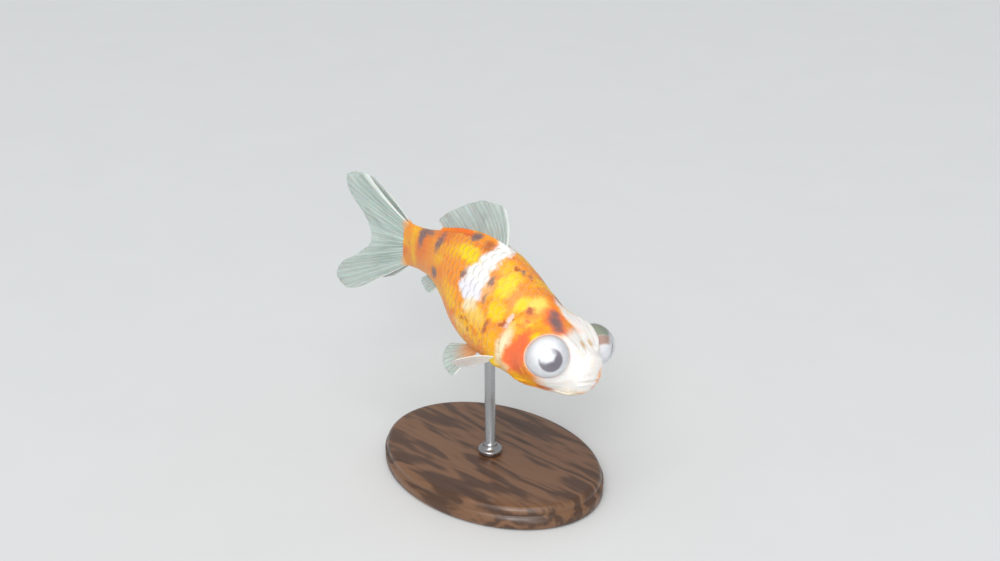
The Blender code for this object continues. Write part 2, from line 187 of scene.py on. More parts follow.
def pose():
    forward = np.array([math.cos(PITCH), 0.0, math.sin(PITCH)])
    upright = np.array([-math.sin(PITCH), 0.0, math.cos(PITCH)])
    left = np.array([0.0, math.cos(ROLL), 0.0]) + upright * math.sin(ROLL)
    return np.stack([forward, left, np.cross(forward, left)], axis=1)


def spine_curve():
    """(stations, places, forwards, lefts, ups) along the spine, in body lengths before the pose."""
    stations = np.linspace(0.0, 1.0, SPINE_STEPS)
    ahead = smooth((SPINE_MIDDLE - stations) / HEAD_BEND)
    behind = smooth((stations - SPINE_MIDDLE) / TAIL_BEND)
    turn = HEAD_TURN * ahead + TAIL_TURN * behind
    lift = HEAD_LIFT * ahead + TAIL_DROOP * behind
    roll = (HEAD_ROLL * ahead + TAIL_ROLL * behind)[:, None]
    forward = np.stack([np.cos(turn) * np.cos(lift), np.sin(turn) * np.cos(lift), np.sin(lift)], 1)
    level = np.stack([-np.sin(turn), np.cos(turn), np.zeros_like(turn)], 1)
    left = level * np.cos(roll) + np.cross(forward, level) * np.sin(roll)
    up = np.cross(forward, left)
    steps = 0.5 * (forward[1:] + forward[:-1]) * (stations[1] - stations[0])
    place = np.concatenate([np.zeros((1, 3)), -np.cumsum(steps, axis=0)])
    middle = np.array([np.interp(SPINE_MIDDLE, stations, place[:, k]) for k in range(3)])
    return stations, place - middle, forward, left, up


SPINE = spine_curve()
POSE = pose()


def along_spine(values, station):
    return np.stack([np.interp(station, SPINE[0], values[:, k]) for k in range(3)], -1)


def directions(station):
    """Forward, left and up at a station, in the world."""
    return [along_spine(SPINE[k], station) @ POSE.T for k in (2, 3, 4)]


def bent(place):
    """World places of straight ones, about the spine's middle. Its ends run on straight."""
    station = place[..., 0]
    forward, left, up = directions(station)
    past = (station - np.clip(station, 0.0, 1.0))[..., None]
    spine = along_spine(SPINE[1], station) @ POSE.T
    return (spine - past * forward + place[..., 1:2] * left + place[..., 2:3] * up) * BODY_LENGTH


def box_middle(node):
    low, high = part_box(node)
    return (np.array(low) + np.array(high)) / 2


def mirrored(place, side):
    return place * np.array([1.0, side, 1.0])


def on_side(angle, side):
    """An angle on the left side, taken to the given side."""
    return angle if side > 0 else pi - angle


# The frame's eyes say where the spine's middle is.
ANCHOR = np.mean([
    box_middle(f"eye_{word}") - bent(mirrored(EYE_CENTRE, side)) for side, word in SIDES], 0)


def in_world(place):
    return bent(np.asarray(place, float)) + ANCHOR


def axis_of(forward_angle, up_angle, side):
    """A straight-fish direction, leaning forward and up from sideways, as (back, left, up)."""
    level = np.array([-math.sin(forward_angle), side * math.cos(forward_angle), 0.0])
    return level * math.cos(up_angle) + np.array([0.0, 0.0, math.sin(up_angle)])


def section(station):
    """(middle height, half height, half width), rounded off at both ends."""
    inside = np.clip(station, SNOUT_BACK, 1.0)
    top, bottom, half = (through(inside, SECTIONS[:, 0], SECTIONS[:, k]) for k in (1, 2, 3))
    share = np.clip((station - SNOUT_TIP) / (SNOUT_BACK - SNOUT_TIP), 0.0, 1.0)
    front = np.sqrt(share * (2.0 - share))
    rear = np.sqrt(1.0 - np.clip((station - 1.0) / (TAIL_END - 1.0), 0.0, 1.0) ** 2)
    return (top + bottom) / 2, (top - bottom) / 2 * front * np.sqrt(rear), half * front * rear


def about_eye(place, side):
    """(axis, height over the eye stalk's rim, distance from the axis, share of the nape side)."""
    axis = axis_of(EYE_FORWARD, EYE_UP, side)
    away = place - mirrored(EYE_CENTRE, side)
    height = away @ axis
    flat = away - height[..., None] * axis
    reach = np.linalg.norm(flat, axis=-1)
    nape = np.clip(flat @ mirrored(TO_NAPE, side) / (reach + 1e-9), 0.0, 1.0)
    return axis, height - STALK_RIM + NAPE_DIP * nape, reach, nape


def raise_stalks(place):
    """Lifts the skin into a stalk round each eye, lower towards the nape."""
    for side, _ in SIDES:
        axis, height, reach, nape = about_eye(place, side)
        outer = STALK_OUTER - NAPE_TRIM * nape
        share = 1.0 - smooth((reach - STALK_INNER) / (outer - STALK_INNER))
        rise = np.where(place[..., 1] * side > 0, np.maximum(-height, 0.0) * share, 0.0)
        place = place + rise[..., None] * axis
    return place


def plain_form(station, angle):
    """Straight places on the body without its stalks and relief."""
    station, angle = np.broadcast_arrays(np.asarray(station, float), np.asarray(angle, float))
    middle, height, half = section(station)
    egg = EGG * np.clip((station - EGG_START) / EGG_GROWTH, 0.0, 1.0)
    left = half * np.cos(angle) * (1.0 - egg * np.sin(angle))
    return np.stack([station, left, middle + height * np.sin(angle)], -1)


def lifted(station, angle, lift):
    """Straight places lifted off the plain form along its normal."""
    step = 1e-3
    along = plain_form(station + step, angle) - plain_form(station - step, angle)
    around = plain_form(station, angle + step) - plain_form(station, angle - step)
    return plain_form(station, angle) + np.asarray(lift)[..., None] * unit(np.cross(around, along))


def gill_line(angle):
    """Station of the gill cover's rear edge."""
    rise = np.sin(angle)
    sweep = np.where(rise > 0, GILL_SWEEP_UP, GILL_SWEEP_DOWN)
    return GILL_LINE + GILL_TILT * rise - sweep * rise**2


# ---- Mesh helpers ----
def inside_out(mesh):
    mesh.calc_loop_triangles()
    points = np.empty(len(mesh.vertices) * 3, np.float32)
    mesh.vertices.foreach_get("co", points)
    corners = np.empty(len(mesh.loop_triangles) * 3, np.int32)
    mesh.loop_triangles.foreach_get("vertices", corners)
    return np.linalg.det(points.reshape(-1, 3)[corners].reshape(-1, 3, 3).astype(float)).sum() < 0


def mesh_piece(name, points, faces, slot, finish, replaced=(), **attributes):
    """A piece of the visual model, riding on the part, with vector attributes on its points."""
    mesh = bpy.data.meshes.new(name)
    mesh.from_pydata(points, [], faces)
    mesh.update()
    if inside_out(mesh):
        mesh.flip_normals()
    mesh.shade_smooth()
    for key, values in attributes.items():
        layer = mesh.attributes.new(key, "FLOAT_VECTOR", "POINT")
        layer.data.foreach_set("vector", np.ascontiguousarray(values, np.float32).ravel())
    piece = bpy.data.objects.new(name, mesh)
    bpy.context.scene.collection.objects.link(piece)
    mesh.materials.append(finish)
    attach(piece, "root")
    if replaced:
        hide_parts(*replaced)
    return piece


def grid_faces(rows, columns, wrap=False):
    """Quads of a grid whose points go row by row; wrap closes each row on itself."""
    across = columns if wrap else columns - 1
    i, j = np.meshgrid(np.arange(rows - 1), np.arange(across), indexing="ij")
    here, beyond = i * columns + j, i * columns + (j + 1) % columns
    return np.stack([here, beyond, beyond + columns, here + columns], -1).reshape(-1, 4)


def capped_faces(rows, columns):
    """Faces of a tube of closed rows, with a fan to a hub at each end; hubs follow the points."""
    here = np.arange(columns)
    beyond = (here + 1) % columns
    last, hub = (rows - 1) * columns, np.full(columns, rows * columns)
    front = np.stack([beyond, here, hub], -1)
    rear = np.stack([last + here, last + beyond, hub + 1], -1)
    return grid_faces(rows, columns, wrap=True).tolist() + front.tolist() + rear.tolist()


def with_hubs(place):
    """A grid's places in one list, then the middles of its first and last rows."""
    return np.concatenate([place.reshape(-1, 3), [place[0].mean(0), place[-1].mean(0)]])


def sheet_faces(rows, columns):
    """Faces of a closed sheet: its upper points go row by row, and its lower ones follow them."""
    count = rows * columns
    index = np.arange(count).reshape(rows, columns)
    rim = np.concatenate([index[0], index[1:, -1], index[-1, -2::-1], index[-2:0:-1, 0]])
    following = np.roll(rim, -1)
    walls = np.stack([rim, following, following + count, rim + count], -1)
    cells = grid_faces(rows, columns)
    return np.concatenate([cells[:, ::-1], cells + count, walls])


WAVE_COUNT = 9


def waves(place, size, seed):
    """Smooth noise in about -1 to 1, from a few crossed waves."""
    source = np.random.default_rng(seed)
    total = np.zeros(place.shape[:-1])
    for _ in range(WAVE_COUNT):
        direction = source.normal(size=3)
        direction *= 2 * pi / size * source.uniform(0.6, 1.5) / np.linalg.norm(direction)
        total += np.sin(place @ direction + source.uniform(0, 2 * pi))
    return total / 4.0


# ---- Skin ----
SKIN_AROUND = 320
HEAD_ROWS = 230
TRUNK_ROWS = 190
END_ROWS = 18
HEAD_END = 0.36  # where the head's rows give way to the trunk's
RELAX_ROUNDS = 14
COAT_DEPTH = 0.24 * MM  # how far the skin lies under the outer form where scales cover it


def skin_stations():
    """Rows of the skin, close together at the snout."""
    share = np.linspace(0.0, 1.0, HEAD_ROWS, endpoint=False)
    head = SNOUT_TIP + (HEAD_END - SNOUT_TIP) * (0.62 * share + 0.38 * share**2.2)
    trunk = np.linspace(HEAD_END, 1.0, TRUNK_ROWS, endpoint=False)
    end = 1.0 + (TAIL_END - 1.0) * np.sin(np.linspace(0.0, pi / 2, END_ROWS))
    return np.concatenate([head, trunk, end])


def side_angle(angle):
    """Angle above the side's middle, the same on both sides."""
    return np.arctan2(np.sin(angle), np.abs(np.cos(angle)))


GILL_SPAN = (-74.0, 14.0, 36.0, 12.0)  # the window, in degrees, where the cover stands free


def gill_relief(station, angle):
    """A raised cover with a free rear edge, and the groove behind it."""
    beyond = station - gill_line(angle)
    up = side_angle(angle)
    plate = window(beyond, -0.07, 0.055, -0.003, 0.005)
    groove = bump(beyond - 0.004, 0.0045)
    front = bump(beyond + 0.078 + 0.012 * np.cos(2 * up), 0.006)
    fans = np.sin((up + 5.0 * beyond) * 46.0) * smooth((beyond + 0.06) / 0.02) * (beyond < -0.006)
    relief = 0.0062 * plate - 0.008 * groove - 0.0022 * front + 0.00025 * fans
    return window(np.degrees(up), *GILL_SPAN) * relief


MOUTH = np.array([(0.008, -0.042), (0.018, -0.0435), (0.03, -0.049), (0.042, -0.059)])
# Bands along that line: height over it, relief, width. Two lips, the slit and a fold past each lip.
MOUTH_BANDS = (
    (0.011, 0.004, 0.0075), (-0.011, 0.004, 0.007), (0.0, -0.006, 0.0034),
    (0.024, -0.0007, 0.006), (-0.024, -0.0006, 0.006))


def mouth_relief(place):
    """Two lips round a slightly parted mouth line that drops towards its corners."""
    station, _, up = np.moveaxis(place, -1, 0)
    off = up - np.interp(station, MOUTH[:, 0], MOUTH[:, 1])
    near = (1.0 - smooth((station - 0.026) / 0.016)) * (up > -0.09) * (up < 0.02)
    return near * sum(relief * bump(off - at, width) for at, relief, width in MOUTH_BANDS)


NOSTRIL_STATION = 0.078
NOSTRIL_ANGLE = radians(64.0)
# Its two pits and the flap between them: place along its slant, length, width, relief.
NOSTRIL_PARTS = (
    (0.0062, 0.0034, 0.0042, -0.008), (-0.0058, 0.003, 0.0036, -0.0065),
    (-0.0004, 0.0024, 0.0066, 0.0046))


def nostril_relief(place):
    """A raised ring in front of each eye, round two pits with a flap between them."""
    total = np.zeros(place.shape[:-1])
    for side, _ in SIDES:
        away = place - plain_form(NOSTRIL_STATION, on_side(NOSTRIL_ANGLE, side))
        along = away[..., 0] * 0.8 - side * away[..., 1] * 0.6
        across = np.sqrt(np.maximum((away**2).sum(-1) - along**2, 0.0))
        total += 0.0034 * bump(np.hypot(0.85 * along, 1.2 * across) - 0.01, 0.0055)
        for at, length, width, relief in NOSTRIL_PARTS:
            total += relief * bump(along - at, length) * bump(across, width)
    return total


EYE_FOLDS = ((0.022, 0.0014), (0.044, 0.001))  # depth under the rim, and relief


def eye_relief(place):
    """A bead round each eye's rim and soft folds down its stalk."""
    total = np.zeros(place.shape[:-1])
    for side, _ in SIDES:
        _, height, reach, _ = about_eye(place, side)
        outside = (place[..., 1] * side > 0) * smooth((reach - 0.068) / 0.008)
        total += outside * 0.0022 * bump(height + 0.002, 0.006) * bump(reach - 0.08, 0.01)
        for depth, relief in EYE_FOLDS:
            total -= outside * relief * bump(height + depth, 0.007) * bump(reach - 0.095, 0.03)
    return total


# Flesh under the fins and round the vent: station, degrees up the side, relief, length, width, and
# the body's radius there.
FIN_ROOTS = (
    (0.343, -43, 0.0085, 0.0242, 0.03, 0.17),
    (0.468, -70, 0.0075, 0.026, 0.024, 0.17),
    (0.812, -80, 0.006, 0.03, 0.014, 0.09),
    (0.735, -90, 0.0045, 0.01, 0.012, 0.11),
    (0.728, -90, -0.0045, 0.004, 0.004, 0.11),
)


def fin_base_relief(station, angle):
    """Fleshy roots under the fins."""
    up = side_angle(angle)
    total = 0.012 * window(station, 0.5, 0.03, 0.8, 0.03) * bump(np.cos(angle) * 0.15, 0.013)
    for at, degrees, relief, length, width, radius in FIN_ROOTS:
        total += relief * bump(station - at, length) * bump((up - radians(degrees)) * radius, width)
    return total


# Stations and degrees up the side of the fold under the eye.
UNDER_EYE = ((0.05, 0.12, 0.2, 0.27), (-60.0, -50.0, -42.0, -46.0))


def head_relief(station, angle, place):
    """Cheek and throat folds, a full chin, the ridge over the eyes and the flesh's unevenness."""
    up = side_angle(angle)
    height = place[..., 2]
    fold = (up - np.radians(np.interp(station, *UNDER_EYE))) * 0.12
    cheek = window(station, 0.045, 0.03, 0.245, 0.03)
    total = cheek * (0.0022 * bump(fold + 0.01, 0.007) - 0.003 * bump(fold, 0.005))
    jaw = bump(station - 0.062 + 0.1 * (height + 0.1), 0.0045)
    total -= 0.0022 * jaw * (1.0 - smooth((height + 0.062) / 0.012))
    below = smooth((-up - radians(35)) / radians(35))
    total += 0.0085 * below * bump(station - 0.072, 0.036)
    ridge = bump((up - radians(58)) * 0.1, 0.012)
    middle = bump((up - radians(90)) * 0.1, 0.01)
    total += window(station, 0.05, 0.04, 0.23, 0.05) * (0.005 * ridge - 0.002 * middle)
    head = 1.0 - smooth((station - 0.26) / 0.08)
    total += head * (0.0008 * waves(place, 0.06, 3) + 0.00035 * waves(place, 0.022, 4))
    return total + (1.0 - head) * 0.0007 * waves(place, 0.06, 5)


def relax(grid, share, rounds):
    """Smooths a closed-row grid where share is over 0, keeping its first and last rows."""
    for _ in range(rounds):
        mean = (np.roll(grid, 1, 1) + np.roll(grid, -1, 1)) / 4
        mean[1:-1] += (grid[2:] + grid[:-2]) / 4
        mean[0], mean[-1] = grid[0], grid[-1]
        grid = grid + share[..., None] * (mean - grid)
    return grid


def build_skin(finish):
    """The flesh from snout to tail root: plain form, eye stalks, then relief along the normals."""
    station = skin_stations()[:, None]
    angle = np.linspace(0.0, 2 * pi, SKIN_AROUND, endpoint=False)[None, :]
    station, angle = np.broadcast_arrays(station, angle)
    head = 1.0 - smooth((station - 0.24) / 0.05)
    place = relax(raise_stalks(plain_form(station, angle)), 0.9 * head, RELAX_ROUNDS)
    around = np.roll(place, -1, 1) - np.roll(place, 1, 1)
    normal = unit(np.cross(around, np.gradient(place, axis=0)))
    lift = gill_relief(station, angle)
    for relief in (mouth_relief, nostril_relief, eye_relief):
        lift = lift + relief(place)
    lift += fin_base_relief(station, angle) + head_relief(station, angle, place)
    nape = smooth((side_angle(angle) - radians(34)) / radians(16))
    lift -= COAT_DEPTH * smooth((station - gill_line(angle) - 0.004) / (0.012 + 0.045 * nape))
    place = with_hubs(place + lift[..., None] * normal)
    faces = [face[::-1] for face in capped_faces(len(station), SKIN_AROUND)]
    mesh_piece(
        "skin", in_world(place), faces, "trunk_skin", finish,
        ("head", "lower_jaw", "gill_cover_left", "gill_cover_right", "trunk", "tail"), place=place)


# ---- Scales ----
SCALE_ROWS = 28  # round the body
SCALE_CELLS = 8
SCALE_FIRST = 0.262  # stations between which they grow
SCALE_LAST = 1.006
SCALE_PATCH = 0.003  # a scale's size on the map OFBake


def scale_roots():
    """(station, angle, spacing along the row, row) of each scale."""
    columns = [SCALE_FIRST]
    while columns[-1] < SCALE_LAST:
        _, height, half = section(np.array(columns[-1]))
        columns.append(columns[-1] + 0.6 * pi * (height + half) / SCALE_ROWS + 0.002)
    roots = []
    for row in range(SCALE_ROWS):
        angle = 2 * pi * row / SCALE_ROWS
        for start, spacing in zip(columns, np.diff(columns)):
            station = start + spacing * (0.5 if row % 2 else 0.0)
            if gill_line(angle) + 0.002 < station < 1.0:
                roots.append((station, angle, spacing, row))
    return np.array(roots)


def scale_plate():
    """(x, y, nearness to the rim) of a scale's points; x is -1 at its root, 1 at its free edge."""
    line = np.linspace(-1.0, 1.0, SCALE_CELLS + 1)
    x, y = (part.ravel() for part in np.meshgrid(line, line, indexing="ij"))
    rim = np.maximum(np.abs(x), np.abs(y))
    return x * np.sqrt(1.0 - 0.46 * y**2), y * np.sqrt(1.0 - 0.5 * x**2), rim


def scale_places(roots, x, y, rim, jitter):
    """Straight places by scale, side and point: tilted, grooved, pored along the lateral line."""
    station, angle, spacing, row = (roots[:, k][:, None] for k in range(4))
    length = 1.22 * spacing * (1.0 + 0.04 * jitter[:, :1])
    width = 0.74 * 2 * pi / SCALE_ROWS * (1.0 + 0.03 * jitter[:, 1:2])
    along = station + length * (0.35 + x)
    around = angle + width * y + 0.03 * jitter[:, 2:3] * x * width
    thin = np.clip(spacing / 0.025, 0.5, 1.1)
    tilt = thin * (0.012 + 0.04 * (x + 1.0) + 0.026 * (1.0 - y**2) - 0.02 * rim**6) * MM
    groove = 0.003 * np.sin(y * 30.0) * smooth(x + 0.4) * MM
    pores = np.isin(row, (0, SCALE_ROWS // 2)) * 0.035 * bump(y, 0.14) * bump(x - 0.35, 0.3) * MM
    depth = -COAT_DEPTH + 0.02 * MM
    top = lifted(along, around, depth + tilt + groove + pores)
    under = lifted(along, around, depth + tilt - thin * (0.075 - 0.03 * rim**4) * MM)
    return np.stack([top, under], 1)


def build_scales(finish):
    """Two coats, each scale a closed plate with its own small patch on the map OFBake."""
    roots = scale_roots()
    x, y, rim = scale_plate()
    source = np.random.default_rng(11)
    jitter = source.normal(size=(len(roots), 3))
    chance = source.uniform(size=len(roots))
    where = scale_places(roots, x, y, rim, jitter)
    station, angle = roots[:, :1], roots[:, 1:2]
    unwrap = np.stack([(station + 0.03) / 1.12, (angle % (2 * pi)) / (2 * pi) * 0.98 + 0.01], -1)
    patch = unwrap + np.stack([x, y], -1) * SCALE_PATCH / 2
    detail = np.stack(np.broadcast_arrays(x, y, chance[:, None]), -1)
    patch, detail = (np.stack([values, values], 1) for values in (patch, detail))
    one = sheet_faces(SCALE_CELLS + 1, SCALE_CELLS + 1)
    for side, word in SIDES:
        mine = np.nonzero(np.cos(roots[:, 1]) * side > -1e-6 * side)[0]
        faces = (np.arange(len(mine))[:, None, None] * 2 * len(x) + one).reshape(-1, 4)
        piece = mesh_piece(
            f"scales_{word}", in_world(where[mine]).reshape(-1, 3), faces.tolist(), "trunk_skin",
            finish, place=where[mine].reshape(-1, 3), scale=detail[mine].reshape(-1, 3))
        layer = piece.data.uv_layers.new(name="OFBake")
        corners = np.empty(len(piece.data.loops), np.int32)
        piece.data.loops.foreach_get("vertex_index", corners)
        layer.data.foreach_set("uv", patch[mine].reshape(-1, 2)[corners].astype(np.float32).ravel())


# ---- Fins ----
FIN_SINK = 0.9 * MM  # how deep a fin's root goes into the flesh
RAY_CELLS = 11  # across each ray


def ray_pattern(across, along, count):
    """Height of the fin's rays, which part in two and then in four towards the margin."""
    offset = across * count - np.floor(across * count) - 0.5
    first = 0.15 * smooth((along - 0.38) / 0.28)
    second = 0.075 * smooth((along - 0.68) / 0.22)
    height = np.zeros_like(offset)
    for a in (-1, 1):
        for b in (-1, 1):
            height = np.maximum(height, bump(offset - a * first - b * second, 0.085 - 0.03 * along))
    return height


def fin_points(roots, reaches, bow, across, along, margin):
    """World places between guide rays from roots; bow bends the longer ones in the middle."""
    knots = np.linspace(0.0, 1.0, len(roots))
    root = through(across, knots, roots)
    reach = through(across, knots, reaches)
    out = (along * margin)[..., None]
    length = np.linalg.norm(reach, axis=-1, keepdims=True)
    return root + reach * out + bow * (length / length.max()) * 4.0 * out * (1.0 - out)


def fin_half(across, along, height, rays):
    """Half a fin's thickness, stouter at its root, its rays and its two edges."""
    stout = 1.0 - 0.72 * smooth(along)
    lead = bump(across, 0.6 / rays) + 0.6 * bump(across - 1.0, 0.4 / rays)
    half = 0.000035 + stout * (0.00002 + 0.000085 * height + 0.00008 * lead)
    return (half + 0.00012 * bump(along, 0.1)) * (1.0 - 0.75 * smooth((along - 0.9) / 0.1))


def build_fin(name, roots, reaches, bow, rays, finish, pleat, steps=64):
    """A thin closed sheet between guide rays, with raised rays, pleats and a fringed margin."""
    columns = rays * RAY_CELLS + 1
    across, along = np.meshgrid(np.linspace(0.0, 1.0, columns), np.linspace(0.0, 1.0, steps))
    source = np.random.default_rng(sum(map(ord, name)))
    ragged = source.normal(size=rays)[np.clip((across * rays).astype(int), 0, rays - 1)]
    height = ray_pattern(across, along, rays)
    edge = smooth((along - 0.75) / 0.25)
    margin = 1.0 + edge * (0.012 * height - 0.011 + 0.007 * ragged)
    margin -= 0.055 * edge * (bump(across, 0.035) + bump(1.0 - across, 0.035))
    world = fin_points(roots, reaches, bow, across, along, margin)
    normal = unit(np.cross(np.gradient(world, axis=1), np.gradient(world, axis=0)))
    turn = 2 * pi * across * pleat
    folds = 0.6 * np.sin(turn + 1.3) + 0.3 * np.sin(2.3 * turn + 0.4)
    world = world + normal * (folds * along**1.6 * 0.00042 * min(1.0, rays / 16))[..., None]
    thick = normal * fin_half(across, along, height, rays)[..., None]
    points = np.concatenate([(world + thick).reshape(-1, 3), (world - thick).reshape(-1, 3)])
    fin = np.tile(np.stack([across, along, height], -1).reshape(-1, 3), (2, 1))
    faces = sheet_faces(steps, columns).tolist()
    mesh_piece(name + "_sheet", points, faces, "fin", finish, (name,), fin=fin)


def spread(station, reach, side):
    """World vectors of reaches given as back, out and up at their stations."""
    forward, left, up = directions(np.clip(station, 0.0, 1.0))
    back, out, rise = np.asarray(reach, float).T[..., None]
    return (-back * forward + side * out * left + rise * up) * BODY_LENGTH


def body_fin(name, form, side, rays, finish, pleat):
    """A fin whose guide rays start on the body's surface."""
    table = np.array(form["rays"])
    station, angle = table[:, 0], on_side(np.radians(table[:, 1]), side)
    roots = in_world(lifted(station, angle, np.full(len(table), -FIN_SINK)))
    start = in_world(lifted(station, angle, np.full(len(table), 0.5 * MM)))
    reaches = start + spread(station, table[:, 2:], side) - roots
    bow = spread(station[:1], [form["bow"]], side)[0]
    build_fin(name, roots, reaches, bow, rays, finish, pleat)


def caudal_fin(name, side, finish):
    """One half of the twin tail, from the end of the body."""
    table = np.array(CAUDAL["rays"])
    ones, height = np.ones(len(table)), table[:, 0]
    left = side * CAUDAL_ROOT * ones
    roots = in_world(np.stack([ones - 0.012, 0.6 * left, 0.97 * height], -1))
    start = in_world(np.stack([ones + 0.0087, left, height], -1))
    tips = table[:, 1:] + (side > 0) * np.outer(TUCK_SHARES, LEFT_TUCK)
    bow = spread(ones[:1], [CAUDAL["bow"]], side)[0]
    build_fin(name, roots, start + spread(ones, tips, side) - roots, bow, 22, finish, 2.6, 96)


def build_fins(finish, dorsal, white, flushed):
    body_fin("dorsal_fin", DORSAL, 1, 18, dorsal, 2.2)
    for side, word in SIDES:
        body_fin(f"pectoral_fin_{word}", PECTORAL, side, 12, white, 1.2)
        body_fin(f"pelvic_fin_{word}", PELVIC, side, 9, flushed, 1.0)
        body_fin(f"anal_fin_{word}", ANAL, side, 7, finish, 0.8)
        caudal_fin(f"caudal_fin_{word}", side, finish)


# ---- Eyes ----
EYE_SWELL = 1.04  # the dressed eye against the solid one
BALL_SHARE = 0.955  # the eyeball against its cornea
PUPIL = radians(35.0)  # from the gaze to the pupil's edge
IRIS = radians(74.0)
PAINTED_HIGHLIGHT = (0.27, 0.17, 0.49)  # a painted highlight over the pupil, a white patch in the eyeball's colour: rearward, up, and how far it reaches
EYE_RINGS = 96
EYE_AROUND = 128
POLE = 0.004  # the first ring's angle from the gaze


def dome(form, side):
    """(polar, turn, places) of a ball facing the gaze, by ring; form gives (radius, depth)."""
    polar = np.linspace(POLE, pi - POLE, EYE_RINGS)[:, None]
    turn = np.linspace(0.0, 2 * pi, EYE_AROUND, endpoint=False)[None, :]
    radius, depth = form(polar, turn)
    gaze = axis_of(GAZE_FORWARD, GAZE_UP, side)
    across = unit(np.cross(gaze, (0.0, 0.0, 1.0)))
    over = np.cross(across, gaze)
    ring = radius[..., None] * (np.cos(turn)[..., None] * across + np.sin(turn)[..., None] * over)
    return polar, turn, mirrored(EYE_CENTRE, side) + ring + depth[..., None] * gaze


def eyeball_form(polar, turn):
    """A ball whose front is a flatter iris with a rounded lens standing in its pupil."""
    radius = BALL_SHARE * EYE_SWELL * EYE_RADIUS
    flat = 0.8
    fibres = 0.0005 * np.sin(turn * 46 + 3 * np.sin(turn * 5)) + 0.0004 * np.sin(turn * 71)
    iris = bump((polar - radians(52)) / 1.0, radians(13))
    depth = np.cos(polar)
    sunk = np.where(depth > flat, flat + (depth - flat) * 0.22, depth)
    lens = 0.05 * np.clip(1.0 - (polar / PUPIL) ** 2, 0.0, 1.0)
    edge = -0.03 * bump(polar - PUPIL, radians(3.0))
    return radius * np.sin(polar) + 0 * turn, radius * (sunk + lens + edge) + fibres * iris


def cornea_form(polar, turn):
    """A clear shell over the front of the eye, which stands out a little more than a ball."""
    radius = EYE_SWELL * EYE_RADIUS * (1.0 + 0.022 * bump(polar, radians(42))) + 0 * turn
    return radius * np.sin(polar), radius * np.cos(polar)


def build_eye(side, word, ball_finish, cornea_finish):
    forms = (("eyeball", eyeball_form, ball_finish), ("cornea", cornea_form, cornea_finish))
    faces = capped_faces(EYE_RINGS, EYE_AROUND)
    for part, form, finish in forms:
        polar, turn, place = dome(form, side)
        look = np.stack(np.broadcast_arrays(polar, side * np.cos(turn), np.sin(turn)), -1)
        look = np.concatenate([look.reshape(-1, 3), [(0.0, 1.0, 0.0), (pi, 1.0, 0.0)]])
        replaced = (f"eye_{word}",) if part == "eyeball" else ()
        mesh_piece(
            f"{part}_{word}", in_world(with_hubs(place)), faces, "eye", finish, replaced, look=look)


# ---- Materials ----
class Finish:
    """A material whose nodes are added one call at a time."""

    def __init__(self, name):
        self.made = bpy.data.materials.new(name)
        self.made.use_nodes = True
        self.tree = self.made.node_tree
        self.shader = self.tree.nodes["Principled BSDF"]
        self.output = self.tree.nodes["Material Output"]

    def add(self, kind, inputs=None, **settings):
        node = self.tree.nodes.new("ShaderNode" + kind)
        for key, value in settings.items():
            setattr(node, key, value)
        self.feed(node, inputs or {})
        return node

    def feed(self, node, inputs):
        for key, value in inputs.items():
            if isinstance(value, bpy.types.NodeSocket):
                self.tree.links.new(value, node.inputs[key])
            else:
                node.inputs[key].default_value = value

    def set(self, **inputs):
        """Sets the shader's sockets; an underscore stands for a space."""
        self.feed(self.shader, {key.replace("_", " "): value for key, value in inputs.items()})

    def attribute(self, name):
        return self.add("Attribute", attribute_name=name).outputs["Vector"]

    def maths(self, operation, *values):
        node = self.add("Math", operation=operation)
        self.feed(node, dict(enumerate(values)))
        return node.outputs[0]

    def times(self, first, second):
        return self.maths("MULTIPLY", first, second)

    def plus(self, first, second):
        return self.maths("ADD", first, second)

    def reach(self, x, y):
        """Length of (x, y)."""
        return self.maths("SQRT", self.plus(self.times(x, x), self.times(y, y)))

    def vector(self, operation, *values):
        return self.add("VectorMath", dict(enumerate(values)), operation=operation).outputs[0]

    def split(self, vector):
        return self.add("SeparateXYZ", {0: vector}).outputs

    def noise(self, vector, scale, detail=3.0, roughness=0.55, output="Fac"):
        """Noise of one scale, or of a scale for each of the vector's axes."""
        if isinstance(scale, tuple):
            vector, scale = self.vector("MULTIPLY", vector, scale), 1.0
        sockets = {"Vector": vector, "Scale": scale, "Detail": detail, "Roughness": roughness}
        return self.add("TexNoise", sockets).outputs[output]

    def ramp(self, value, low, high, to_low=0.0, to_high=1.0):
        """value from low to high, eased into to_low to to_high."""
        sockets = dict(enumerate((value, low, high, to_low, to_high)))
        return self.add("MapRange", sockets, interpolation_type="SMOOTHSTEP").outputs[0]

    def mix(self, share, *pair, blend="MIX"):
        """From the first colour of the pair to the second."""
        node = self.add("Mix", data_type="RGBA", blend_type=blend)
        first, second = ((*shade, 1.0) if isinstance(shade, tuple) else shade for shade in pair)
        self.feed(node, {0: share, 6: first, 7: second})
        return node.outputs[2]

    def over(self, colour, shade, value, low, high, most=1.0, blend="MIX"):
        """colour with shade laid over it, more and more as value goes from low to high."""
        return self.mix(self.ramp(value, low, high, 0.0, most), colour, shade, blend=blend)

    def bump(self, height, strength, distance, under=None):
        node = self.add("Bump", {"Height": height, "Strength": strength, "Distance": distance})
        if under is not None:
            self.feed(node, {"Normal": under})
        return node.outputs["Normal"]


ORANGE = (0.93, 0.3, 0.034)
DEEP_ORANGE = (0.86, 0.17, 0.022)
GOLD = (0.97, 0.47, 0.014)
YELLOW = (0.98, 0.63, 0.012)
PALE_YELLOW = (0.97, 0.68, 0.13)
PEACH = (0.93, 0.46, 0.2)
CREAM = (0.95, 0.78, 0.5)
WHITE = (0.91, 0.88, 0.84)
LILAC = (0.86, 0.83, 0.89)
RED = (0.92, 0.17, 0.055)
RIM_PINK = (0.92, 0.8, 0.77)  # round the eyes
LIP_ORANGE = (0.94, 0.38, 0.13)
RED_BROWN = (0.46, 0.115, 0.035)
PURPLE_GREY = (0.22, 0.135, 0.135)
TAN = (0.66, 0.4, 0.16)

